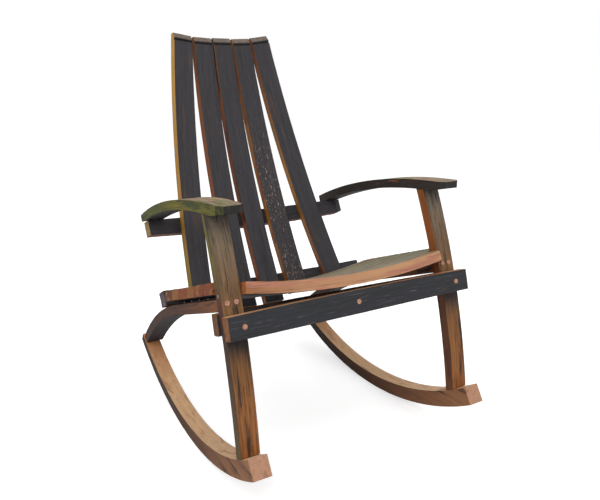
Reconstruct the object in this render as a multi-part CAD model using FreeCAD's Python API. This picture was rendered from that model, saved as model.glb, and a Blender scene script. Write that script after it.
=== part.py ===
import FreeCAD, Part
import math
import os

Vector = FreeCAD.Vector

# Rocking adirondack chair built from barrel staves, in millimetres.
# +Y is the back of the chair, +Z is up, X = 0 is the plane of symmetry.
# Left and right are those of the person sitting in it, so left is +X.
# Points in the side view are written (y, z).

# stock
stave_thick = 25.4
stave_facets = 4         # flat lengths that make up a bowed edge
fit_gap = 0.3            # between wooden pieces that are seated on each other
pin_gap = 0.1            # around screws and plugs
approach = 40.0          # pieces start this far from where they are seated
screw_start = 80.0       # screw lines start this far outside the wood
drill_start = 4.0        # holes start this far outside the wood

# rockers, sawn from board
rocker_width = 42.0
rocker_bottom_radius = 755.0
rocker_bottom_centre = (-5.0, 755.0)
rocker_top_radius = 709.0
rocker_top_centre = (10.0, 742.0)
rocker_front_angle = -31.9
rocker_rear_angle = 30.7
rocker_x = 283.0
toe_in = 1.05            # the rockers and side rails close in towards the back, degrees
toe_pivot_y = -345.0

# front legs, convex face forward
leg_foot = (-347.0, 130.0)
leg_head = (-218.5, 597.0)
leg_radius = 1760.0
leg_spare = 40.0         # extra length at both ends before trimming
leg_widths = (42.0, 44.0, 45.0)
leg_foot_x = 282.0
right_leg_head_x = 282.5
left_leg_head_x = 270.5  # this stave stands a little askew

# side rails that carry the seat, straight at first and then bending down
side_rail_front = (-254.0, 436.0)
side_rail_bend = (30.0, 331.0)
side_rail_rear = (366.0, 117.0)
side_rail_widths = (50.0, 53.0, 46.0)
side_rail_x = 277.5
side_rail_spare = 30.0
left_drop = 7.5          # the left side rail sits lower, so what crosses both rails leans with it

# arms, convex face up
arm_front = (-279.0, 627.0)
arm_rear = (262.0, 508.3)
arm_radius = 1470.0
arm_thick = 23.0
arm_widths = (56.0, 62.0, 47.0)
arm_x = 277.0
arm_corner = 11.0
arm_front_undercut = (36.0, 7.0)   # length and depth of the wedge sawn from below each end
arm_rear_undercut = (30.0, 5.0)

# back slats, convex face to the rear
back_top = (402.9, 963.1)
back_low = (130.4, 311.1)
back_radius = 2175.0
slat_widths = (53.0, 57.0, 54.0)
slat_top_x = (-121.0, -60.0, 0.0, 60.0, 121.0)
slat_low_x = (-205.0, -84.0, 0.0, 84.0, 205.0)
slat_tails = (45.0, 64.0, 64.0, 47.0, 47.0)   # lengths below the lower end of the arc
slat_lifts = (8.0, 0.0, 0.0, 0.0, 8.0)        # lengths above its upper end
chime_height = 17.0
chime_depth = 11.0
croze_width = 4.0
croze_depth = 4.0

# rails behind the back slats, convex face to the rear
rail_radius = 1700.0
rail_length = 602.0
arm_rail_share = 0.25    # how far up the back arc, before it is moved up to the arms
arm_rail_widths = (39.5, 44.0, 39.5)
arm_rail_clip = (18.0, 5.0)   # length and height of its clipped lower corner
low_rail_widths = (37.0, 43.0, 38.0)

# front stretcher and the rail behind the legs, nearly straight staves
stretcher_length = 619.4
stretcher_radius = 5400.0
stretcher_widths = (48.5, 52.0, 48.5)
stretcher_share = 0.545  # how far up the leg
leg_rail_width = 46.0
leg_rail_round = 5.0

# seat slats, convex face down
seat_radius = 1600.0
seat_slat_length = 614.0
seat_slat_count = 6      # behind the legs
seat_slat_gap = 1.0      # at the middle, where the staves are widest
seat_slat_taper = 2.5
seat_front_share = 0.024  # where the seat starts and ends along the side rails
seat_back_share = 0.506
front_slat_width = 58.0

# screws and plugs
screw_sides = 6          # flat faces of a screw and its hole
plug_sides = 12
seam_turn = 0.3          # share of a flat face that the first corner is turned by
plug_diameter = 11.0
plug_depth = 7.0
screw_diameter = 4.2
screw_head_diameter = 8.4
screw_head_height = 2.6
short_screw = 40.0
middle_screw = 55.0
long_screw = 66.0
side_screw_x = 264.0     # line of the screws through the side rails
low_rail_screw_share = 0.565
stretcher_plug_x = 274.0
leg_plug_height = 431.0
leg_plug_offset = 9.8
front_slat_screw = (-263.0, 446.0)


def point(x, yz):
    return Vector(x, yz[0], yz[1])


def direction(degrees):
    """Unit vector in the side view, 0 degrees to the back and 90 up."""
    a = math.radians(degrees)
    return Vector(0, math.cos(a), math.sin(a))


def across(out):
    """Side view direction a quarter turn back from an outward one."""
    return Vector(0, out.z, -out.y)


class Bow:
    """Circle arc through two side view points that bulges to the left of the line between them."""

    def __init__(self, start, end, radius):
        a = point(0, start)
        b = point(0, end)
        self.radius = radius
        self.chord = b.sub(a).Length
        self.along = b.sub(a).normalize()
        self.bulge = Vector(0, -self.along.z, self.along.y)
        self.centre = (a + b) * 0.5 - self.bulge * (radius - sag(radius, self.chord / 2))
        self.half_angle = math.asin(self.chord / 2 / radius)

    def at(self, share):
        """Place on the arc and its outward direction, share 0 at the start and 1 at the end."""
        turn = self.half_angle * (2 * share - 1)
        out = self.bulge * math.cos(turn) + self.along * math.sin(turn)
        return self.centre + out * self.radius, out

    def inside(self, depth):
        """Solid filling the circle up to a depth under the arc, for trimming."""
        base = self.centre - Vector(500, 0, 0)
        return Part.makeCylinder(self.radius - depth, 1000, base, Vector(1, 0, 0))


class Bend:
    """Side view line that runs straight and then turns down in an arc to its end."""

    def __init__(self, start, bend, end):
        self.start = point(0, start)
        chord = point(0, end) - point(0, bend)
        straight = point(0, bend) - self.start
        self.straight = straight.Length
        self.along = straight.normalize()
        self.out = Vector(0, -self.along.z, self.along.y)
        self.turn = 2 * self.along.getAngle(chord)
        self.radius = chord.Length / 2 / math.sin(self.turn / 2)
        self.centre = point(0, bend) - self.out * self.radius
        self.length = self.straight + self.radius * self.turn

    def at(self, share):
        """Place on the line and its outward direction, by share of the length."""
        run = share * self.length
        if run <= self.straight:
            return self.start + self.along * run, self.out
        turn = (run - self.straight) / self.radius
        out = self.out * math.cos(turn) + self.along * math.sin(turn)
        return self.centre + out * self.radius, out

    def band(self, thickness, spare):
        """Side view face of a stave under the line, with extra length at both ends."""
        extra = spare / self.length
        middle = (1 + self.straight / self.length) / 2
        outer = [self.at(share)[0] for share in (-extra, self.straight / self.length, middle, 1 + extra)]
        inner = [self.at(share)[0] - self.at(share)[1] * thickness
                 for share in (-extra, self.straight / self.length, middle, 1 + extra)]
        edges = [Part.makeLine(outer[0], outer[1]), curve(*outer[1:]), Part.makeLine(outer[3], inner[3]),
                 curve(*inner[:0:-1]), Part.makeLine(inner[1], inner[0]), Part.makeLine(inner[0], outer[0])]
        return Part.Face(Part.Wire(edges))


def curve(start, via, end):
    """Arc through three points, or a line where they are in a row."""
    if (via - start).cross(end - start).Length < 1e-3:
        return Part.makeLine(start, end)
    return Part.Arc(start, via, end).toShape()


def sag(radius, run):
    """How far an arc falls away from its crown."""
    return radius - math.sqrt(radius ** 2 - run ** 2)


leg_bow = Bow(leg_foot, leg_head, leg_radius)
side_rail_line = Bend(side_rail_front, side_rail_bend, side_rail_rear)
arm_bow = Bow(arm_front, arm_rear, arm_radius)
back_bow = Bow(back_top, back_low, back_radius)


def stave(length, widths, radius, thickness=stave_thick):
    """Barrel stave: convex face up with its crown at the origin, widths at start, middle and end."""
    half = length / 2
    drop = sag(radius, half)
    hub = Vector(0, 0, -radius)
    outer = Vector(half, 0, -drop)
    inner = hub + (outer - hub) * (1 - thickness / radius)
    flip = FreeCAD.Rotation(Vector(0, 0, 1), 180)
    outline = [curve(flip.multVec(outer), Vector(0, 0, 0), outer),
               Part.makeLine(outer, inner),
               curve(inner, Vector(0, 0, -thickness), flip.multVec(inner)),
               Part.makeLine(flip.multVec(inner), flip.multVec(outer))]
    reach = max(widths)
    band = Part.Face(Part.Wire(outline))
    band.translate(Vector(0, -reach, 0))
    band = band.extrude(Vector(0, 2 * reach, 0))
    return band.common(stave_outline(half + 1, widths, drop + thickness + 2))


def stave_outline(half, widths, depth):
    """Plan shape with bowed edges, from just above the crown down past the ends."""
    start, middle, end = [w / 2 for w in widths]
    left = facets(Vector(-half, -start, 0), Vector(0, -middle, 0), Vector(half, -end, 0))
    right = facets(Vector(half, end, 0), Vector(0, middle, 0), Vector(-half, start, 0))
    plan = Part.Face(Part.makePolygon(left + right + left[:1]))
    plan.translate(Vector(0, 0, 1))
    return plan.extrude(Vector(0, 0, -depth))


def facets(start, via, end):
    """Points along a curve that flat lengths are drawn between."""
    return curve(start, via, end).discretize(stave_facets + 1)


def set_axes(shape, origin, along, up):
    """Put a stave with its crown at origin, its length along one direction and its crown facing up."""
    turn = FreeCAD.Rotation(along, up.cross(along), up, "ZXY")
    shape.Placement = FreeCAD.Placement(origin, turn)
    return shape


def bowed_stave(bow, widths, x, spare=0.0, thickness=stave_thick):
    """Stave lying along a side view arc at the given x."""
    shape = stave(bow.chord + 2 * spare, widths, bow.radius, thickness)
    crown, out = bow.at(0.5)
    return set_axes(shape, crown + Vector(x, 0, 0), bow.along, out)


def cross_stave(length, widths, radius, crown, out):
    """Stave lying from side to side, with its crown at a point and facing out."""
    return set_axes(stave(length, widths, radius), crown, Vector(1, 0, 0), out)


def toe(shape, side):
    """Turn a rocker or side rail so that its rear end comes in."""
    shape = shape.copy()
    shape.rotate(Vector(side * rocker_x, toe_pivot_y, 0), Vector(0, 0, 1), side * toe_in)
    return shape


def drop(side):
    return left_drop if side > 0 else 0


def lean(shape, centre, axis):
    """Tilt a piece that bears on the inner edges of both side rails, about an axis pointing back."""
    slope = math.degrees(math.atan(left_drop / (2 * side_rail_x - side_rail_widths[0])))
    shape.rotate(centre, axis, slope * axis.y)
    return shape


def rest(shape, others, way, gap=fit_gap):
    """Move a piece along a direction until it is seated on the others."""
    shape = shape.copy()
    for _ in range(40):
        room = min(shape.distToShape(other)[0] for other in others) - gap
        if room < 0.01:
            break
        shape.translate(way * room)
    return shape


def rocker(side):
    """Curved runner: the space between two circles, cut off square at both ends."""
    start = side * rocker_x - rocker_width / 2
    hub = point(start, rocker_bottom_centre)
    body = Part.makeCylinder(rocker_bottom_radius, rocker_width, hub, Vector(1, 0, 0))
    body = body.cut(rocker_top(side, 0))
    reach = rocker_bottom_radius * 1.3
    corners = [hub + direction(a - 90) * reach for a in (rocker_front_angle, 0, rocker_rear_angle)]
    wedge = Part.Face(Part.makePolygon([hub] + corners + [hub]))
    return toe(body.common(wedge.extrude(Vector(rocker_width, 0, 0))), side)


def rocker_top(side, gap):
    """Cylinder that touches the rocker's top face, used to saw off what stands on it."""
    base = point(side * rocker_x - 100, rocker_top_centre)
    return Part.makeCylinder(rocker_top_radius - gap, 200, base, Vector(1, 0, 0))


def leg(side, head_x):
    """Front leg, sawn to the rocker below and the arm above."""
    shape = bowed_stave(leg_bow, leg_widths, 0, leg_spare)
    lean = math.degrees(math.atan((head_x - leg_foot_x) / leg_bow.chord))
    shape.rotate(point(0, leg_foot), Vector(0, 1, 0), side * lean)
    shape.translate(Vector(side * leg_foot_x, 0, 0))
    shape = shape.common(toe(rocker_top(side, fit_gap), side))
    return shape.common(arm_bow.inside(arm_thick + fit_gap))


def side_rail(side):
    """Bent stave from the back of the leg down to the rear end of the rocker."""
    width = max(side_rail_widths)
    shape = side_rail_line.band(stave_thick, side_rail_spare).extrude(Vector(2 * width, 0, 0))
    shape.translate(Vector(-width, 0, 0))
    front, rear = side_rail_front[0] - side_rail_spare, side_rail_rear[0] + side_rail_spare
    plan = stave_outline((rear - front) / 2, side_rail_widths, 2 * side_rail_front[1])
    plan.rotate(Vector(0, 0, 0), Vector(0, 0, 1), 90)
    plan.translate(Vector(0, (front + rear) / 2, 2 * side_rail_front[1]))
    shape = shape.common(plan)
    shape.translate(Vector(side * side_rail_x, 0, -drop(side)))
    shape = shape.common(rocker_top(side, fit_gap))
    return toe(shape, side).common(leg_bow.inside(stave_thick + fit_gap))


def arm(side):
    """Arm with clipped front corners and both ends thinned from below."""
    shape = bowed_stave(arm_bow, arm_widths, side * arm_x, 0, arm_thick)
    front = arm_bow.at(0)[0]
    for edge in (-1, 1):
        clip = Part.makeBox(4 * arm_corner, 4 * arm_corner, 8 * arm_corner)
        clip.translate(Vector(-2, -2, -4) * arm_corner)
        clip.rotate(Vector(0, 0, 0), Vector(0, 0, 1), 45)
        corner = front + Vector(side * arm_x + edge * arm_widths[0] / 2, 0, 0)
        clip.translate(corner - Vector(0, arm_corner * (2 * math.sqrt(2) - 1), 0))
        shape = shape.cut(clip)
    shape = shape.cut(undercut(side, 0, arm_front_undercut))
    return shape.cut(undercut(side, 1, arm_rear_undercut))


def undercut(side, share, size):
    """Wedge that thins one end of an arm from below, start 0 or end 1."""
    reach, rise = size
    end, out = arm_bow.at(share)
    inner, inner_out = arm_bow.at(abs(share - reach / arm_bow.chord))
    start = inner - inner_out * arm_thick
    stop = end - out * (arm_thick - rise)
    beyond = stop + (stop - start) * 0.2
    corners = [start, beyond, beyond - out * 2 * rise, start - inner_out * 2 * rise]
    wedge = Part.Face(Part.makePolygon(corners + corners[:1]))
    width = max(arm_widths)
    wedge.translate(Vector(side * arm_x - width, 0, 0))
    return wedge.extrude(Vector(2 * width, 0, 0))


def back_slat(top_x, low_x, tail, lift):
    """Full stave with the chime bevel and croze groove left on its upper end."""
    length = back_bow.chord + tail + lift
    shape = stave(length, slat_widths, back_radius).cut(chime_tool(length / 2, back_radius, True))
    # the crown is in the middle of the stave, so the tail moves it down the arc
    crown, out = back_bow.at(0.5 + (tail - lift) / 2 / back_bow.chord)
    set_axes(shape, crown, across(out), out)
    # fan the slat out, then turn it about the axis of the curved rails
    middle, out = back_bow.at(0.5)
    shape.rotate(middle, out, math.degrees(math.atan((top_x - low_x) / back_bow.chord)))
    shape.rotate(middle - out * rail_radius, across(out),
                 math.degrees((top_x + low_x) / 2 / rail_radius))
    return shape


def chime_tool(half, radius, grooved):
    """Bevel, with a groove if wanted, on the hollow side of the starting end of a stave."""
    lean = math.asin(half / radius)
    along = Vector(math.cos(lean), 0, math.sin(lean))
    out = Vector(-math.sin(lean), 0, math.cos(lean))
    face = Vector(0, 0, -radius) + out * (radius - stave_thick)
    bevel = [face - along * 2 - out * 3,
             face - along * 2 + out * chime_depth,
             face + out * chime_depth,
             face + along * chime_height,
             face + along * chime_height - out * 3]
    low = face + along * (chime_height + 1) - out * 3
    high = low + out * (croze_depth + 3)
    groove = [low, high, high + along * croze_width, low + along * croze_width]
    tool = cross_prism(bevel)
    return tool.fuse(cross_prism(groove)) if grooved else tool


def cross_prism(corners):
    """Prism across a stave from a lengthwise outline."""
    flat = Part.Face(Part.makePolygon(corners + corners[:1]))
    flat.translate(Vector(0, -60, 0))
    return flat.extrude(Vector(0, 120, 0))


def back_rail(share, widths, slats, cuts=()):
    """Rail seated behind the back slats."""
    place, out = back_bow.at(1 - share)
    shape = stave(rail_length, widths, rail_radius + stave_thick)
    for tool in cuts:
        shape = shape.cut(tool)
    set_axes(shape, place + out * (stave_thick + approach), Vector(1, 0, 0), out)
    return rest(shape, slats, out * -1)


def arm_rail(slats, arms):
    """Rail moved up under the arms; its left end has a chime bevel and a clipped lower corner."""
    chime = chime_tool(rail_length / 2, rail_radius + stave_thick, False)
    chime.rotate(Vector(0, 0, 0), Vector(0, 0, 1), 180)
    run, rise = arm_rail_clip
    end, edge = rail_length / 2, arm_rail_widths[2] / 2
    corners = [Vector(end - 2 * run, edge + rise, 0), Vector(end + run, edge - 2 * rise, 0),
               Vector(end + run, edge + rise, 0)]
    clip = Part.Face(Part.makePolygon(corners + corners[:1]))
    clip.translate(Vector(0, 0, -rail_radius / 10))
    clip = clip.extrude(Vector(0, 0, rail_radius / 5))
    shape = back_rail(arm_rail_share, arm_rail_widths, slats, [chime, clip])
    out = back_bow.at(1 - arm_rail_share)[1]
    return rest(rest(shape, arms, across(out) * -1), slats, out * -1)


def low_rail(slats, side_rails):
    """Rail across the lower ends of the back slats, standing on the side rails."""
    place, out = back_bow.at(1)
    shape = lean(back_rail(0, low_rail_widths, slats), place, out)
    shape.translate(across(out) * -approach)
    return rest(shape, side_rails, across(out))


def stretcher(legs):
    """Front stretcher, hollow side forward, against the front of the legs."""
    place, out = leg_bow.at(stretcher_share)
    shape = cross_stave(stretcher_length, stretcher_widths, stretcher_radius,
                        place + out * (stave_thick + approach), out * -1)
    return rest(shape, legs, out * -1)


def rounded_stave(length, width, radius, rounding):
    """Stave of constant width with rounded edges: crown at the origin, convex face up."""
    centres = [Vector(0, width / 2 - rounding, -rounding),
               Vector(0, rounding - width / 2, -rounding),
               Vector(0, rounding - width / 2, rounding - stave_thick),
               Vector(0, width / 2 - rounding, rounding - stave_thick)]
    edges = []
    for i, centre in enumerate(centres):
        corner = [centre + direction(90 * i + turn) * rounding for turn in (0, 45, 90)]
        following = centres[(i + 1) % 4] + direction(90 * i + 90) * rounding
        edges += [curve(*corner), Part.makeLine(corner[2], following)]
    section = Part.Face(Part.Wire(edges))
    angle = 2 * math.degrees(math.asin(length / 2 / radius))
    section.rotate(Vector(0, 0, -radius), Vector(0, 1, 0), -angle / 2)
    return section.revolve(Vector(0, 0, -radius), Vector(0, 1, 0), angle)


def leg_rail(legs, side_rails):
    """Rail with rounded edges across the backs of the legs, up against the side rails."""
    place, out = leg_bow.at(stretcher_share)
    up = across(out)
    shape = rounded_stave(stretcher_length, leg_rail_width, stretcher_radius, leg_rail_round)
    set_axes(shape, place - out * (2 * stave_thick + approach) - up * approach, Vector(1, 0, 0), out * -1)
    shape = lean(rest(shape, legs, out), place, out * -1)
    shape = rest(shape, side_rails, up)
    return rest(shape, legs, out)


def seat_shares():
    """Places along the side rails where the middles of the full width slats lie, and their pitch."""
    pitch = (seat_back_share - seat_front_share) / seat_slat_count
    return [seat_front_share + pitch * (i + 0.5) for i in range(seat_slat_count)], pitch


def seat_slats(side_rails):
    """Full width slats laid side by side on the side rails, from the legs to the back."""
    shares, pitch = seat_shares()
    width = pitch * side_rail_line.length - seat_slat_gap
    widths = (width - seat_slat_taper, width, width - seat_slat_taper)
    slats = []
    for share in shares:
        place, out = side_rail_line.at(share)
        slat = cross_stave(seat_slat_length, widths, seat_radius, place + out * approach, out * -1)
        slats.append(rest(lean(slat, place, Vector(0, 1, 0)), side_rails, out * -1))
    return slats


def leg_x(side, height):
    """Middle of a leg at a height."""
    head_x = left_leg_head_x if side > 0 else right_leg_head_x
    share = (height - leg_foot[1]) / (leg_head[1] - leg_foot[1])
    return leg_foot_x + (head_x - leg_foot_x) * share


def front_slat(side_rails):
    """Slat between the legs, in line with the row behind it."""
    left_end, right_end = [leg_x(side, side_rail_front[1]) - leg_widths[1] / 2 - 2 * fit_gap
                           for side in (1, -1)]
    step = (front_slat_width / 2 + seat_slat_gap) / side_rail_line.length
    place, out = side_rail_line.at(seat_front_share - step)
    end_width = front_slat_width - seat_slat_taper
    crown = place + out * approach + Vector((left_end - right_end) / 2, 0, 0)
    slat = cross_stave(left_end + right_end, (end_width, front_slat_width, end_width),
                       seat_radius, crown, out * -1)
    return rest(lean(slat, crown, Vector(0, 1, 0)), side_rails, out * -1)


NODES = {}
GROUPS = {}   # fasteners, by the node they share
HOLES = {}    # what is drilled out of each node


def add_to(group, solid):
    GROUPS.setdefault(group, []).append(solid)


def surface(name, start, way):
    """Where a line from a point first meets a piece."""
    line = Part.makeLine(start, start + way * 400)
    hits = [v.Point for v in line.common(NODES[name]).Vertexes]
    return min(hits, key=lambda p: p.distanceToPoint(start))


def turned(profile, place, way, sides=screw_sides):
    """Faceted round solid from (radius, depth) points, with its axis along a direction."""
    angles = [2 * math.pi * (i + seam_turn) / sides for i in range(sides)]
    rings = [[Vector(radius * math.cos(a), radius * math.sin(a), depth) for a in angles]
             for radius, depth in profile]
    outlines = [rings[0], rings[-1]]
    for low, high in zip(rings, rings[1:]):
        outlines += [[low[i - 1], low[i], high[i], high[i - 1]] for i in range(sides)]
    faces = [Part.Face(Part.makePolygon(corners + corners[:1])) for corners in outlines]
    shape = Part.makeSolid(Part.makeShell(faces))
    shape.Placement = FreeCAD.Placement(place, FreeCAD.Rotation(Vector(0, 0, 1), way))
    return shape


def screw(place, way, length):
    """Countersunk screw."""
    head, shank = screw_head_diameter / 2, screw_diameter / 2
    profile = [(head, 0), (shank, screw_head_height), (shank, length)]
    return turned(profile, place, way)


def screw_hole(place, way, length):
    """Hole for a countersunk screw, carried on outside the wood."""
    head, shank = screw_head_diameter / 2 + pin_gap, screw_diameter / 2 + pin_gap
    profile = [(head, -drill_start), (head, 0), (shank, screw_head_height), (shank, length + pin_gap)]
    return turned(profile, place, way)


def drill(names, tool):
    for name in names:
        HOLES.setdefault(name, []).append(tool)


def plug_hole(group, name, place, way):
    """Round plug flush with the surface; returns the floor of its hole."""
    radius = plug_diameter / 2
    add_to(group, turned([(radius, 0), (radius, plug_depth)], place, way, plug_sides))
    radius += pin_gap
    depth = plug_depth + pin_gap
    drill([name], turned([(radius, -drill_start), (radius, depth)], place, way, plug_sides))
    return place + way * depth


def fasten(group, names, start, way, length, plugs=None):
    """Screw from a surface through the named pieces, under a plug if a plug group is given."""
    place = surface(names[0], start, way)
    if plugs:
        place = plug_hole(plugs, names[0], place, way)
    drill(names, screw_hole(place, way, length))
    add_to(group, screw(place, way, length))


def front_screws(side, name):
    """Stretcher, leg and front slat screws of one side."""
    leg_name = name + "_front_leg"
    height = leg_plug_height - drop(side) / 2
    place, out = leg_bow.at((height - leg_foot[1]) / (leg_head[1] - leg_foot[1]))
    for offset in (-leg_plug_offset, leg_plug_offset):
        start = place + out * screw_start + Vector(side * leg_x(side, height) + offset, 0, 0)
        fasten("leg_screws", [leg_name, name + "_side_rail"], start, out * -1, middle_screw, "leg_plugs")
    place, out = leg_bow.at(stretcher_share)
    start = place + out * screw_start + Vector(side * stretcher_plug_x, 0, 0)
    fasten("stretcher_screws", ["front_stretcher", leg_name, "leg_rail"],
           start, out * -1, long_screw, "stretcher_plugs")
    outer = point(side * (leg_foot_x + screw_start), front_slat_screw) - Vector(0, 0, drop(side))
    fasten("front_slat_screws", [leg_name, "seat_slat_1"], outer, Vector(-side, 0, 0), long_screw)


def middle_plug():
    """Plug in the middle of the stretcher, with nothing behind it."""
    place, out = leg_bow.at(stretcher_share)
    place = surface("front_stretcher", place + out * screw_start, out * -1)
    plug_hole("stretcher_plugs", "front_stretcher", place, out * -1)


def arm_screws(side, name):
    """Two plugged screws through each arm, into the leg and into the arm rail."""
    place, out = leg_bow.at(1)
    up = across(out)
    start = place - out * (stave_thick / 2) + up * screw_start
    start.x = side * leg_x(side, leg_head[1])
    fasten("arm_screws", [name + "_arm", name + "_front_leg"], start, up * -1, middle_screw, "arm_plugs")
    place, out = back_bow.at(1 - arm_rail_share)
    down = across(out)
    start = place + out * (stave_thick * 1.5 - sag(rail_radius, arm_x)) - down * screw_start
    start.x = side * arm_x
    fasten("arm_screws", [name + "_arm", "arm_rail"], start, down, short_screw, "arm_plugs")


def side_rail_screws(side, name):
    """Screws from below through a side rail into the seat slats and the lower back rail."""
    shares = seat_shares()[0] + [low_rail_screw_share]
    targets = ["seat_slat_%d" % (i + 2) for i in range(seat_slat_count)] + ["lower_back_rail"]
    for share, target in zip(shares, targets):
        place, out = side_rail_line.at(share)
        start = place - out * (stave_thick + screw_start) + Vector(side * side_screw_x, 0, 0)
        fasten("side_rail_screws", [name + "_side_rail", target], start, out, short_screw)


def rocker_screws(side, name):
    """Screws from under each rocker into the leg and the side rail that stand on it."""
    place, out = leg_bow.at(0)
    up = across(out)
    start = place - out * (stave_thick / 2) - up * screw_start + Vector(side * leg_foot_x, 0, 0)
    fasten("rocker_screws", [name + "_rocker", name + "_front_leg"], start, up, long_screw)
    place, out = side_rail_line.at(1)
    way = across(out) * -1
    inward = math.radians(toe_in) * (place.y - toe_pivot_y)
    start = place - out * (stave_thick / 2) - way * screw_start
    start += Vector(side * (side_rail_x - inward), 0, -drop(side))
    fasten("rocker_screws", [name + "_rocker", name + "_side_rail"], start, way, long_screw)


def back_screws(rail, share):
    """Screws from behind through a rail into each back slat, square to the curved rail."""
    place, out = back_bow.at(1 - share)
    axis = place + out * (stave_thick - rail_radius)
    for i, (top_x, low_x) in enumerate(zip(slat_top_x, slat_low_x)):
        x = low_x + (top_x - low_x) * share
        spoke = (Vector(x, 0, 0) + out * math.sqrt(rail_radius ** 2 - x ** 2)).normalize()
        start = axis + spoke * (rail_radius + screw_start)
        fasten("back_screws", [rail, "back_slat_%d" % (i + 1)], start, spoke * -1, short_screw)


def build_pieces():
    for name, side in (("left", 1), ("right", -1)):
        NODES[name + "_rocker"] = rocker(side)
        NODES[name + "_side_rail"] = side_rail(side)
        NODES[name + "_arm"] = arm(side)
    NODES["left_front_leg"] = leg(1, left_leg_head_x)
    NODES["right_front_leg"] = leg(-1, right_leg_head_x)
    legs = [NODES["left_front_leg"], NODES["right_front_leg"]]
    side_rails = [NODES["left_side_rail"], NODES["right_side_rail"]]
    NODES["front_stretcher"] = stretcher(legs)
    NODES["leg_rail"] = leg_rail(legs, side_rails)
    slats = [back_slat(*sizes) for sizes in zip(slat_top_x, slat_low_x, slat_tails, slat_lifts)]
    for i, slat in enumerate(slats):
        NODES["back_slat_%d" % (i + 1)] = slat
    NODES["arm_rail"] = arm_rail(slats, [NODES["left_arm"], NODES["right_arm"]])
    NODES["lower_back_rail"] = low_rail(slats, side_rails)
    NODES["seat_slat_1"] = front_slat(side_rails)
    for i, slat in enumerate(seat_slats(side_rails)):
        NODES["seat_slat_%d" % (i + 2)] = slat


def build_fasteners():
    for name, side in (("left", 1), ("right", -1)):
        front_screws(side, name)
        arm_screws(side, name)
        side_rail_screws(side, name)
        rocker_screws(side, name)
    middle_plug()
    back_screws("arm_rail", arm_rail_share)
    back_screws("lower_back_rail", 0)


def export():
    """Write every node, with the origin moved to the middle of the footprint on the floor."""
    for name, tools in HOLES.items():
        for tool in tools:
            NODES[name] = NODES[name].cut(tool)
    for name, solids in GROUPS.items():
        NODES[name] = Part.makeCompound(solids)
    box = Part.makeCompound(list(NODES.values())).optimalBoundingBox(False, False)
    shift = Vector(-(box.XMin + box.XMax) / 2, -(box.YMin + box.YMax) / 2, -box.ZMin)
    os.makedirs("parts", exist_ok=True)
    for name, shape in NODES.items():
        shape.translate(shift)
        shape.exportStep("parts/%s.step" % name)


build_pieces()
build_fasteners()
export()
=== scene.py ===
import math
import bpy
import numpy as np
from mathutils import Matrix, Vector

# Rocking adirondack chair of old barrel staves on two new oak rockers. Metres, +Z up, +Y the back.

# camera of the photograph
camera_place = (-0.73135, -1.310665, 0.85491)
camera_forward = (0.48552, 0.83147, -0.27004)
camera_lens = 36.6

# stage
floor_size = 40.0
floor_white = 0.72       # what the floor reflects
floor_lift = 0.6         # what it adds for the camera, so that it reads as white away from the shadow
world_light = 0.56
lamp_target = (0.0, 0.0, 0.45)
lamps = (("key", (-1.6, -1.6, 2.6), 2.0, 50.0),    # name, place, width and watts
         ("fill", (2.4, -1.2, 1.8), 2.4, 20.0),
         ("top", (0.2, 0.6, 3.0), 2.4, 26.0))

# worn edges of the wood
edge_round = 0.0012
edge_angle = 35.0        # only edges sharper than this are rounded
wear_depth = 0.0011
wear_size = 0.02
weld_gap = 0.00002

# sizes of the grain, as repeats in a metre along, across and through the stock
streak_scale = (4.0, 120.0, 120.0)
fibre_scale = (22.0, 520.0, 520.0)
crack_scale = (9.0, 340.0, 340.0)
patch_scale = (7.0, 52.0, 52.0)
# glint: pale streaks of painted highlight on the charred faces, not grain
glint_scale = (14.0, 520.0, 520.0)
flake_scale = (110.0, 230.0, 230.0)
wobble_scale = (12.0, 12.0, 12.0)
wobble_shift = 0.08      # how far the colour changes along a piece wander, as a share of its length
relief = 0.0008          # depth of the grain
# colour of the painted highlight streaks that stand in for the sheen of the char
painted_glint_colour = (104, 98, 106)

# upper ends of the back slats
chime_height = 0.017
croze_width = 0.004
chime_blur = 0.001
croze_blur = 0.002
# near black of the painted shade inside the groove
croze_painted_shade = (14, 12, 13)

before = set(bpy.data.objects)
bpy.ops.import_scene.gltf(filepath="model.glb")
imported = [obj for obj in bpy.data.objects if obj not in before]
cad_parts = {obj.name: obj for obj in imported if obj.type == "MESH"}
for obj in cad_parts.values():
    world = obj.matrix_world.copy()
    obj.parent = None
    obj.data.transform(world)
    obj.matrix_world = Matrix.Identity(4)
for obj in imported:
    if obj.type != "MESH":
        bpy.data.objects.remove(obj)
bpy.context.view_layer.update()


def colour(red, green, blue):
    """Linear colour from the 0 to 255 values that a screen shows."""
    channels = [c / 255 for c in (red, green, blue)]
    return [c / 12.92 if c <= 0.04045 else ((c + 0.055) / 1.055) ** 2.4 for c in channels] + [1.0]


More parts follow.
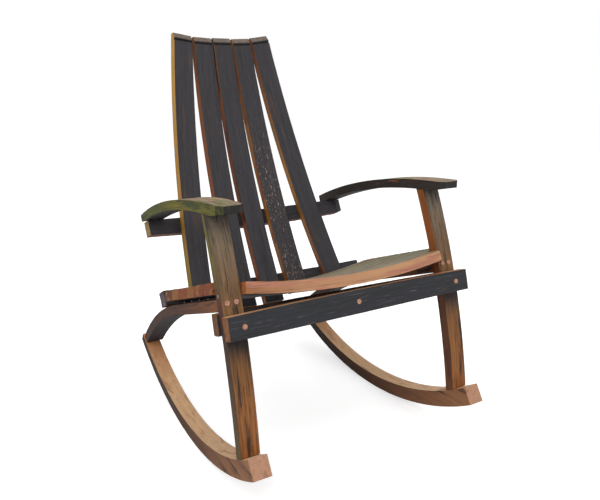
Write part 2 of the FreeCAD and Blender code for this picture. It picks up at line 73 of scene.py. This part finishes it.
class Grain:
    """Axes along, across and out of a piece's stock, and how its line bends away from straight."""

    def __init__(self, name, straight=False):
        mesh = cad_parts[name].data
        points = np.zeros(len(mesh.vertices) * 3)
        mesh.vertices.foreach_get("co", points)
        points = np.unique(points.reshape(-1, 3).round(6), axis=0)
        self.centre = (points.min(0) + points.max(0)) / 2
        points = points - self.centre
        self.along = self.facing(np.linalg.svd(points, full_matrices=False)[2][0])
        run = points @ self.along
        reach = np.ptp(run) * 0.02
        ends = [points[run > run.max() - reach].mean(0), points[run < run.min() + reach].mean(0)]
        self.along = self.facing(ends[0] - ends[1])
        run = points @ self.along
        self.start = run.min()
        self.length = np.ptp(run)
        if straight:
            self.out = np.array([0.0, 0.0, 1.0])
            self.out -= self.along * (self.out @ self.along)
        else:
            powers = np.stack([run ** 2, run, np.ones_like(run)], 1)
            self.out = -np.linalg.lstsq(powers, points - np.outer(run, self.along), rcond=None)[0][0]
            self.out -= self.along * (self.out @ self.along)
        self.out /= np.linalg.norm(self.out)
        self.across = self.facing(np.cross(self.out, self.along))
        powers = np.stack([run ** 3, run ** 2, run, np.ones_like(run)], 1)
        bend = np.linalg.lstsq(powers, points @ self.out, rcond=None)[0]
        self.bend = [0.0] * 4 if straight else [float(b) for b in bend]

    @staticmethod
    def facing(axis):
        """Unit axis, turned so that its largest part is positive."""
        axis = axis / np.linalg.norm(axis)
        return axis * np.sign(axis[np.argmax(abs(axis))])


class Nodes:
    """Nodes of one material, added call by call."""

    def __init__(self, name):
        self.material = bpy.data.materials.new(name)
        self.material.use_nodes = True
        self.tree = self.material.node_tree
        self.tree.nodes.clear()

    def add(self, kind, inputs, **settings):
        node = self.tree.nodes.new("ShaderNode" + kind)
        for key, value in settings.items():
            setattr(node, key, value)
        for key, value in inputs.items():
            if isinstance(value, bpy.types.NodeSocket):
                self.tree.links.new(value, node.inputs[key])
            else:
                node.inputs[key].default_value = value
        return node

    def math(self, operation, a, b=0.0, c=0.0):
        return self.add("Math", {0: a, 1: b, 2: c}, operation=operation).outputs[0]

    def vector(self, operation, a, b):
        return self.add("VectorMath", {0: a, 1: b}, operation=operation).outputs[0]

    def dot(self, a, b):
        return self.add("VectorMath", {0: a, 1: b}, operation="DOT_PRODUCT").outputs["Value"]

    def step(self, value, low, high):
        """0 below low, 1 above high and smooth between them."""
        inputs = {"Value": value, "From Min": low, "From Max": high}
        return self.add("MapRange", inputs, interpolation_type="SMOOTHSTEP").outputs[0]

    def mix(self, share, a, b):
        """Colour between a and b."""
        node = self.add("Mix", {}, data_type="RGBA")
        for index, value in ((0, share), (6, a), (7, b)):
            if isinstance(value, bpy.types.NodeSocket):
                self.tree.links.new(value, node.inputs[index])
            else:
                node.inputs[index].default_value = value
        return node.outputs[2]

    def noise(self, place, scale, seed, detail=3.0):
        """Noise from 0 to 1, stretched along the grain."""
        place = self.vector("MULTIPLY", place, scale)
        place = self.vector("ADD", place, (seed * 3.7, seed * 5.3, seed * 7.9))
        inputs = {"Vector": place, "Scale": 1.0, "Detail": detail, "Roughness": 0.6}
        return self.add("TexNoise", inputs).outputs[0]

    def ramp(self, share, stops):
        node = self.add("ValToRGB", {0: share})
        elements = node.color_ramp.elements
        elements[0].position, elements[0].color = stops[0][0], colour(*stops[0][1])
        elements[1].position, elements[1].color = stops[-1][0], colour(*stops[-1][1])
        for position, rgb in stops[1:-1]:
            elements.new(position).color = colour(*rgb)
        return node.outputs[0]

    def finish(self, base, roughness, height, depth, metallic=0.0):
        """Shader with a bump of the given depth in metres."""
        bump = self.add("Bump", {"Strength": 1.0, "Distance": depth, "Height": height})
        shader = self.add("BsdfPrincipled", {"Base Color": base, "Roughness": roughness,
                                             "Metallic": metallic, "Normal": bump.outputs[0]})
        output = self.add("OutputMaterial", {"Surface": shader.outputs[0]})
        self.tree.nodes.active = output
        return self.material


class Face:
    """Colours along one face of a stave, from its start to its end, how it has weathered, and how much
    painted highlight it shows.
    """

    def __init__(self, *stops, patch=None, patches=0.5, streaks=0.45, cracks=0.6, lines=0.0):
        if not isinstance(stops[0][1], tuple):
            stops = [(0.0, stops[0])]
        self.stops = list(stops) if len(stops) > 1 else [stops[0], (1.0, stops[0][1])]
        self.patch = patch
        self.patches = patches
        self.streaks = streaks
        self.cracks = cracks
        self.lines = lines


def wood(name, seed, straight=False, tip=None, flakes=None, **faces):
    """Wood of one piece, coloured face by face: out, inner, plus, minus and end."""
    grain = Grain(name, straight)
    n = Nodes(name + "_wood")
    coords = n.add("TexCoord", {})
    place = n.vector("SUBTRACT", coords.outputs["Object"], tuple(grain.centre))
    normal = n.add("NewGeometry", {}).outputs["True Normal"]
    run = n.dot(place, tuple(grain.along))
    side = n.dot(place, tuple(grain.across))
    rise = n.dot(place, tuple(grain.out))
    line = grain.bend[0]
    for factor in grain.bend[1:]:
        line = n.math("MULTIPLY_ADD", run, line, factor)
    depth = n.math("SUBTRACT", rise, line)
    grid = n.add("CombineXYZ", {0: run, 1: side, 2: depth}).outputs[0]

    wobble = n.noise(grid, wobble_scale, seed + 1)
    share = n.math("MULTIPLY_ADD", run, 1 / grain.length, -grain.start / grain.length)
    share = n.math("ADD", share, n.math("MULTIPLY_ADD", wobble, wobble_shift, -wobble_shift / 2))
    streak = n.noise(grid, streak_scale, seed + 2)
    fibre = n.noise(grid, fibre_scale, seed + 3)
    crack = n.step(n.noise(grid, crack_scale, seed + 4, 4.0), 0.55, 0.66)
    # mask of the painted highlight streaks
    glint = n.step(n.noise(grid, glint_scale, seed + 5, 2.0), 0.62, 0.74)
    patch = n.noise(grid, patch_scale, seed + 6, 4.0)

    facing = n.dot(normal, tuple(grain.out))
    sideways = n.dot(normal, tuple(grain.across))
    endways = n.math("ABSOLUTE", n.dot(normal, tuple(grain.along)))
    masks = {"plus": n.step(sideways, -0.1, 0.1),
             "out": n.step(facing, 0.5, 0.72),
             "inner": n.step(facing, -0.5, -0.72),
             "end": n.step(endways, 0.62, 0.74)}

    def face_colour(face):
        result = n.ramp(share, face.stops)
        if face.patch:
            low = 0.72 - 0.3 * face.patches
            result = n.mix(n.step(patch, low - 0.06, low + 0.06), result, colour(*face.patch))
        return result

    base = face_colour(faces["minus"])
    amounts = [faces["minus"].streaks, faces["minus"].cracks, faces["minus"].lines]
    for key, mask in masks.items():
        face = faces[key]
        base = n.mix(mask, base, face_colour(face))
        amounts = [n.math("MULTIPLY_ADD", mask, n.math("SUBTRACT", goal, amount), amount)
                   for goal, amount in zip((face.streaks, face.cracks, face.lines), amounts)]
    streaks, cracks, lines = amounts
    if tip:
        # bevelled end of the stave, with the groove below it painted dark as the shade inside it
        chime = grain.start + grain.length - chime_height
        croze = chime - croze_width
        bevel = n.math("MULTIPLY", n.step(run, chime - chime_blur, chime + chime_blur), masks["inner"])
        base = n.mix(bevel, base, colour(*tip))
        groove = n.math("MULTIPLY", n.step(run, croze - croze_blur, croze),
                        n.step(run, chime - chime_blur, chime - croze_blur))
        base = n.mix(n.math("MULTIPLY", groove, masks["inner"]), base, colour(*croze_painted_shade))
    if flakes:
        # blistered flakes from the middle down
        cells = n.vector("MULTIPLY", grid, flake_scale)
        blister = n.add("TexVoronoi", {"Vector": cells, "Scale": 1.0}).outputs["Distance"]
        chips = n.math("SUBTRACT", n.math("MULTIPLY_ADD", wobble, 0.5, 0.12), blister)
        chips = n.math("MULTIPLY", n.step(chips, 0.0, 0.12), n.step(share, 0.74, 0.5))
        chips = n.math("MULTIPLY", chips, masks["inner"])
        flake = n.ramp(fibre, [(0.4, (64, 50, 44)), (0.56, (92, 72, 62)), (0.66, flakes)])
        base = n.mix(chips, base, flake)

    # light and dark of the grain
    tone = n.math("MULTIPLY_ADD", streak, 0.62, n.math("MULTIPLY", fibre, 0.38))
    tone = n.math("MULTIPLY", n.math("SUBTRACT", tone, 0.5), 5.0)
    tone = n.math("MULTIPLY_ADD", tone, streaks, 1.0)
    tone = n.math("MAXIMUM", tone, 0.25)
    dark = n.math("MULTIPLY", crack, cracks)
    tone = n.math("MULTIPLY", tone, n.math("SUBTRACT", 1.0, dark))
    base = n.add("VectorMath", {0: base, 3: tone}, operation="SCALE").outputs[0]
    # painted highlight: pale glint streaks stand in for the sheen of the charred wood
    base = n.mix(n.math("MULTIPLY", glint, lines), base, colour(*painted_glint_colour))

    roughness = n.math("MULTIPLY_ADD", fibre, 0.3, 0.55)
    height = n.math("MULTIPLY_ADD", streak, 0.5, n.math("MULTIPLY", fibre, 0.5))
    height = n.math("SUBTRACT", height, n.math("MULTIPLY", crack, 0.6))
    return n.finish(base, roughness, height, relief)


def plug_wood():
    """End grain plug, pale and a little pink."""
    n = Nodes("plug_wood")
    place = n.add("TexCoord", {}).outputs["Object"]
    grain = n.noise(place, (260.0, 260.0, 260.0), 1)
    pores = n.step(n.noise(place, (900.0, 900.0, 900.0), 2), 0.56, 0.66)
    base = n.ramp(grain, [(0.3, (150, 98, 78)), (0.7, (206, 156, 130))])
    base = n.mix(n.math("MULTIPLY", pores, 0.5), base, colour(92, 52, 40))
    return n.finish(base, n.math("MULTIPLY_ADD", grain, 0.2, 0.5), pores, -0.0003)


def screw_steel():
    """Zinc coated screw steel, dulled in places."""
    n = Nodes("screw_steel")
    place = n.add("TexCoord", {}).outputs["Object"]
    dull = n.noise(place, (320.0, 320.0, 320.0), 3)
    base = n.ramp(dull, [(0.35, (120, 118, 112)), (0.65, (186, 184, 180))])
    return n.finish(base, n.math("MULTIPLY_ADD", dull, 0.3, 0.25), dull, 0.0001, metallic=1.0)


# colours of the surfaces, on the 0 to 255 scale
char = (41, 38, 43)
char_blue = (33, 34, 39)
char_brown = (60, 44, 38)
amber = (142, 82, 28)
gold = (160, 108, 36)
rust = (120, 56, 22)
tan = (186, 136, 96)
weathered = (120, 108, 92)
black = (26, 20, 18)


def charred(patch=None, patches=0.5, lines=0.3, tint=char):
    """Hollow side of a stave, blackened by fire, with pale streaks of painted highlight for its sheen."""
    return Face(tint, patch=patch, patches=patches, streaks=0.5, cracks=0.5, lines=lines)


def back_slat_look(index):
    """Charred face to the front and a differently coloured edge on each slat; the fourth is blistered."""
    name = "back_slat_%d" % (index + 1)
    edges = [Face((0.0, (122, 108, 30)), (0.35, (168, 120, 40)), (1.0, (186, 140, 60)),
                  streaks=0.3, cracks=0.3),
             Face((0.0, rust), (1.0, amber), patch=black, patches=0.5),
             Face((0.0, amber), (0.6, rust), (1.0, gold), patch=black, patches=0.5),
             Face((0.0, rust), (1.0, amber), patch=gold, patches=0.6),
             Face((0.0, amber), (0.5, gold), (1.0, rust), patch=black, patches=0.4)]
    flakes = (158, 142, 132) if index == 3 else None
    far_edge = edges[(2, 3, 4, 1, 1)[index]]
    return wood(name, 10 + index, tip=(96, 82, 70), flakes=flakes,
                out=Face(weathered, patch=(92, 84, 74)), inner=charred(char_brown, 0.3),
                plus=far_edge, minus=edges[index], end=Face((86, 66, 46)))


def leg_look(name, seed, outer):
    """Front of a leg, honey coloured low down, with the stretcher's shadow painted across it as a dark
    band, and grey at the top.
    """
    # painted shadow: the dark stops from 0.47 to 0.55 are the shadow that the stretcher casts on the leg
    front = Face((0.0, (144, 86, 34)), (0.2, (136, 84, 36)), (0.38, (112, 72, 32)), (0.47, (38, 28, 22)),
                 (0.55, (60, 42, 28)), (0.6, (128, 92, 52)), (0.72, (108, 80, 52)), (0.86, (110, 92, 70)),
                 (1.0, (78, 72, 66)), patch=(62, 40, 24), patches=0.4, streaks=0.6, cracks=0.9)
    inner_side = Face((0.0, (110, 62, 24)), (0.4, (84, 48, 22)), (0.6, (134, 70, 22)), (1.0, (142, 78, 22)),
                      patch=(80, 40, 18), patches=0.4)
    outer_side = Face((0.0, (84, 66, 26)), (0.5, (60, 30, 16)), (0.62, (84, 32, 18)), (0.8, (112, 96, 32)),
                      (1.0, (104, 96, 36)), patch=black, patches=0.4)
    other = "minus" if outer == "plus" else "plus"
    sides = {outer: outer_side, other: inner_side}
    return wood(name, seed, out=front, inner=charred(), end=Face(tan), **sides)


def arm_look(name, seed, outer):
    """Weathered top, one side olive green and the other side dark, the dark side being painted shade."""
    top = Face((0.0, (134, 112, 90)), (0.3, (142, 120, 94)), (1.0, (116, 106, 76)),
               patch=(98, 96, 56), patches=0.5, streaks=0.5)
    green = Face((0.0, (84, 84, 14)), (0.35, (110, 100, 14)), (0.7, (74, 78, 14)), (1.0, (84, 92, 24)),
                 patch=(52, 60, 18), patches=0.4)
    # painted shade: this dark side stands in for the side of the arm that lies in shadow
    dark = Face((40, 32, 26), patch=(116, 70, 36), patches=0.35)
    other = "minus" if outer == "plus" else "plus"
    sides = {outer: green, other: dark}
    end = Face((26, 24, 22), patch=(48, 40, 32), patches=0.3)
    return wood(name, seed, out=top, inner=charred(), end=end, **sides)


def side_rail_look(name, seed):
    """Reddish brown edges that darken to the rear."""
    edge = Face((0.0, (128, 74, 30)), (0.3, (86, 46, 20)), (0.7, (66, 34, 16)), (1.0, (48, 28, 16)),
                patch=(56, 18, 12), patches=0.45)
    top = Face((148, 128, 104), patch=(96, 76, 56))
    return wood(name, seed, out=top, inner=charred(), plus=edge, minus=edge, end=Face(amber))


def seat_slat_look(index):
    """Weathered top, charred underside and ends in mixed browns; the front slat has a pale sawn edge."""
    name = "seat_slat_%d" % (index + 1)
    top = Face((0.0, (112, 108, 88)), (0.5, (140, 132, 112)), (1.0, (122, 118, 90)),
               patch=((142, 92, 66), (118, 124, 92), (126, 84, 54))[index % 3], patches=0.5, streaks=0.5)
    front = Face((0.0, (150, 96, 56)), (0.25, (176, 126, 92)), (1.0, (184, 138, 96)), patch=(172, 114, 90),
                 patches=0.45, streaks=0.2, cracks=0.2)
    ends = ((160, 94, 44), (126, 58, 28), (124, 60, 26), (136, 82, 36),
            (132, 60, 26), (138, 88, 34), (96, 52, 32))
    edge = Face(amber, patch=(106, 50, 26), patches=0.5)
    end = Face(ends[index], patch=(156, 104, 40), patches=0.4)
    return wood(name, 40 + index, out=charred(char_brown), inner=top, plus=edge,
                minus=front if index == 0 else edge, end=end)


def rocker_look(name, seed):
    """New oak: pale on top, with sides painted darker as shade, which deepens to near black at the rear;
    the top darkens a little there too.
    """
    top = Face((0.0, (212, 172, 134)), (0.7, (206, 164, 122)), (1.0, (176, 112, 64)),
               patch=(176, 130, 92), patches=0.4, streaks=0.16, cracks=0.12)
    # painted shade: the sides are the top's new oak in shadow, darker still towards the rear
    side = Face((0.0, (146, 98, 62)), (0.25, (120, 76, 46)), (0.5, (84, 50, 26)), (0.75, (46, 28, 16)),
                (1.0, (30, 20, 14)), patch=(70, 40, 22), patches=0.35, streaks=0.3, cracks=0.25)
    end = Face((176, 130, 102), patch=(158, 112, 86), patches=0.35, streaks=0.14, cracks=0.12)
    return wood(name, seed, straight=True, out=top, inner=side, plus=side, minus=side, end=end)


def rail_looks():
    """Materials of the four pieces that run from side to side behind and before the others."""
    edge = Face(tan, patch=(170, 98, 52), patches=0.5, streaks=0.3, cracks=0.3)
    brown = Face(amber, patch=black, patches=0.4)
    grey = Face(weathered, patch=(92, 84, 74))
    dark = charred(char_brown, 0.35)
    return {
        "front_stretcher": wood("front_stretcher", 60, out=grey, inner=charred(lines=0.7, tint=char_blue),
                                plus=edge, minus=brown, end=Face((132, 82, 40), patch=(96, 52, 26))),
        "leg_rail": wood("leg_rail", 61, out=dark, inner=dark, plus=brown, minus=brown,
                         end=Face((104, 66, 28))),
        "arm_rail": wood("arm_rail", 62, out=grey, inner=charred(), plus=brown,
                         minus=Face((120, 74, 66)), end=Face((150, 126, 76), patch=(120, 90, 50))),
        "lower_back_rail": wood("lower_back_rail", 63, out=grey, inner=dark, plus=brown, minus=brown,
                                end=Face((96, 84, 96), patch=(70, 56, 60)))}


def dress():
    """Give every piece its material, and wear the edges of the wood."""
    looks = rail_looks()
    for index in range(5):
        looks["back_slat_%d" % (index + 1)] = back_slat_look(index)
    for index in range(7):
        looks["seat_slat_%d" % (index + 1)] = seat_slat_look(index)
    for seed, name, outer in ((20, "left", "plus"), (30, "right", "minus")):
        looks[name + "_front_leg"] = leg_look(name + "_front_leg", seed, outer)
        looks[name + "_arm"] = arm_look(name + "_arm", seed + 1, outer)
        looks[name + "_side_rail"] = side_rail_look(name + "_side_rail", seed + 2)
        looks[name + "_rocker"] = rocker_look(name + "_rocker", seed + 3)
    plug, steel = plug_wood(), screw_steel()
    texture = bpy.data.textures.new("wear", "CLOUDS")
    texture.noise_scale = wear_size
    texture.noise_depth = 3
    for name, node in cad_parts.items():
        if name in looks:
            soften(node, texture)
        look = looks.get(name, plug if name.endswith("plugs") else steel)
        node.data.materials.clear()
        node.data.materials.append(look)


def soften(piece, texture):
    """Slightly rounded edges, and faces worn down unevenly."""
    weld = piece.modifiers.new("weld", "WELD")
    weld.merge_threshold = weld_gap
    bevel = piece.modifiers.new("bevel", "BEVEL")
    bevel.width = edge_round
    bevel.segments = 2
    bevel.limit_method = "ANGLE"
    bevel.angle_limit = math.radians(edge_angle)
    finer = piece.modifiers.new("finer", "SUBSURF")
    finer.subdivision_type = "SIMPLE"
    finer.levels = finer.render_levels = 2
    wear = piece.modifiers.new("wear", "DISPLACE")
    wear.texture = texture
    wear.texture_coords = "LOCAL"
    wear.strength = wear_depth
    wear.mid_level = 1.0
    even = piece.modifiers.new("even", "WEIGHTED_NORMAL")
    even.weight = 100


def stage():
    """Pale floor, white surroundings, soft lamps and the camera."""
    mesh = bpy.data.meshes.new("floor")
    half = floor_size / 2
    places = [(-half, -half, 0), (half, -half, 0), (half, half, 0), (-half, half, 0)]
    mesh.from_pydata(places, [], [(0, 1, 2, 3)])
    floor = bpy.data.objects.new("floor", mesh)
    bpy.context.scene.collection.objects.link(floor)
    n = Nodes("floor")
    rays = n.add("LightPath", {})
    diffuse = n.add("BsdfDiffuse", {"Color": (floor_white, floor_white, floor_white, 1.0)})
    lift = n.add("Emission", {"Strength": n.math("MULTIPLY", rays.outputs["Is Camera Ray"], floor_lift)})
    both = n.add("AddShader", {0: diffuse.outputs[0], 1: lift.outputs[0]})
    n.add("OutputMaterial", {"Surface": both.outputs[0]})
    mesh.materials.append(n.material)

    world = bpy.data.worlds.new("studio")
    bpy.context.scene.world = world
    world.use_nodes = True
    tree = world.node_tree
    background = next(node for node in tree.nodes if node.type == "BACKGROUND")
    rays = tree.nodes.new("ShaderNodeLightPath")
    seen = tree.nodes.new("ShaderNodeMath")
    seen.operation = "MAXIMUM"
    tree.links.new(rays.outputs["Is Camera Ray"], seen.inputs[0])
    tree.links.new(rays.outputs["Is Transmission Ray"], seen.inputs[1])
    level = tree.nodes.new("ShaderNodeMapRange")
    level.inputs["To Min"].default_value = world_light
    tree.links.new(seen.outputs[0], level.inputs["Value"])
    tree.links.new(level.outputs[0], background.inputs["Strength"])
    background.inputs["Color"].default_value = (1.0, 1.0, 1.0, 1.0)

    target = Vector(lamp_target)
    for name, place, size, power in lamps:
        light = bpy.data.lights.new(name, "AREA")
        light.size = size
        light.energy = power
        lamp = bpy.data.objects.new(name, light)
        lamp.location = place
        lamp.rotation_euler = (target - lamp.location).to_track_quat("-Z", "Y").to_euler()
        bpy.context.scene.collection.objects.link(lamp)

    camera = bpy.data.objects.new("camera", bpy.data.cameras.new("camera"))
    camera.data.sensor_fit = "HORIZONTAL"
    camera.data.sensor_width = 36.0
    camera.data.lens = camera_lens
    camera.location = camera_place
    camera.rotation_euler = Vector(camera_forward).to_track_quat("-Z", "Y").to_euler()
    bpy.context.scene.collection.objects.link(camera)
    bpy.context.scene.camera = camera
    bpy.context.scene.view_settings.view_transform = "Standard"


dress()
stage()
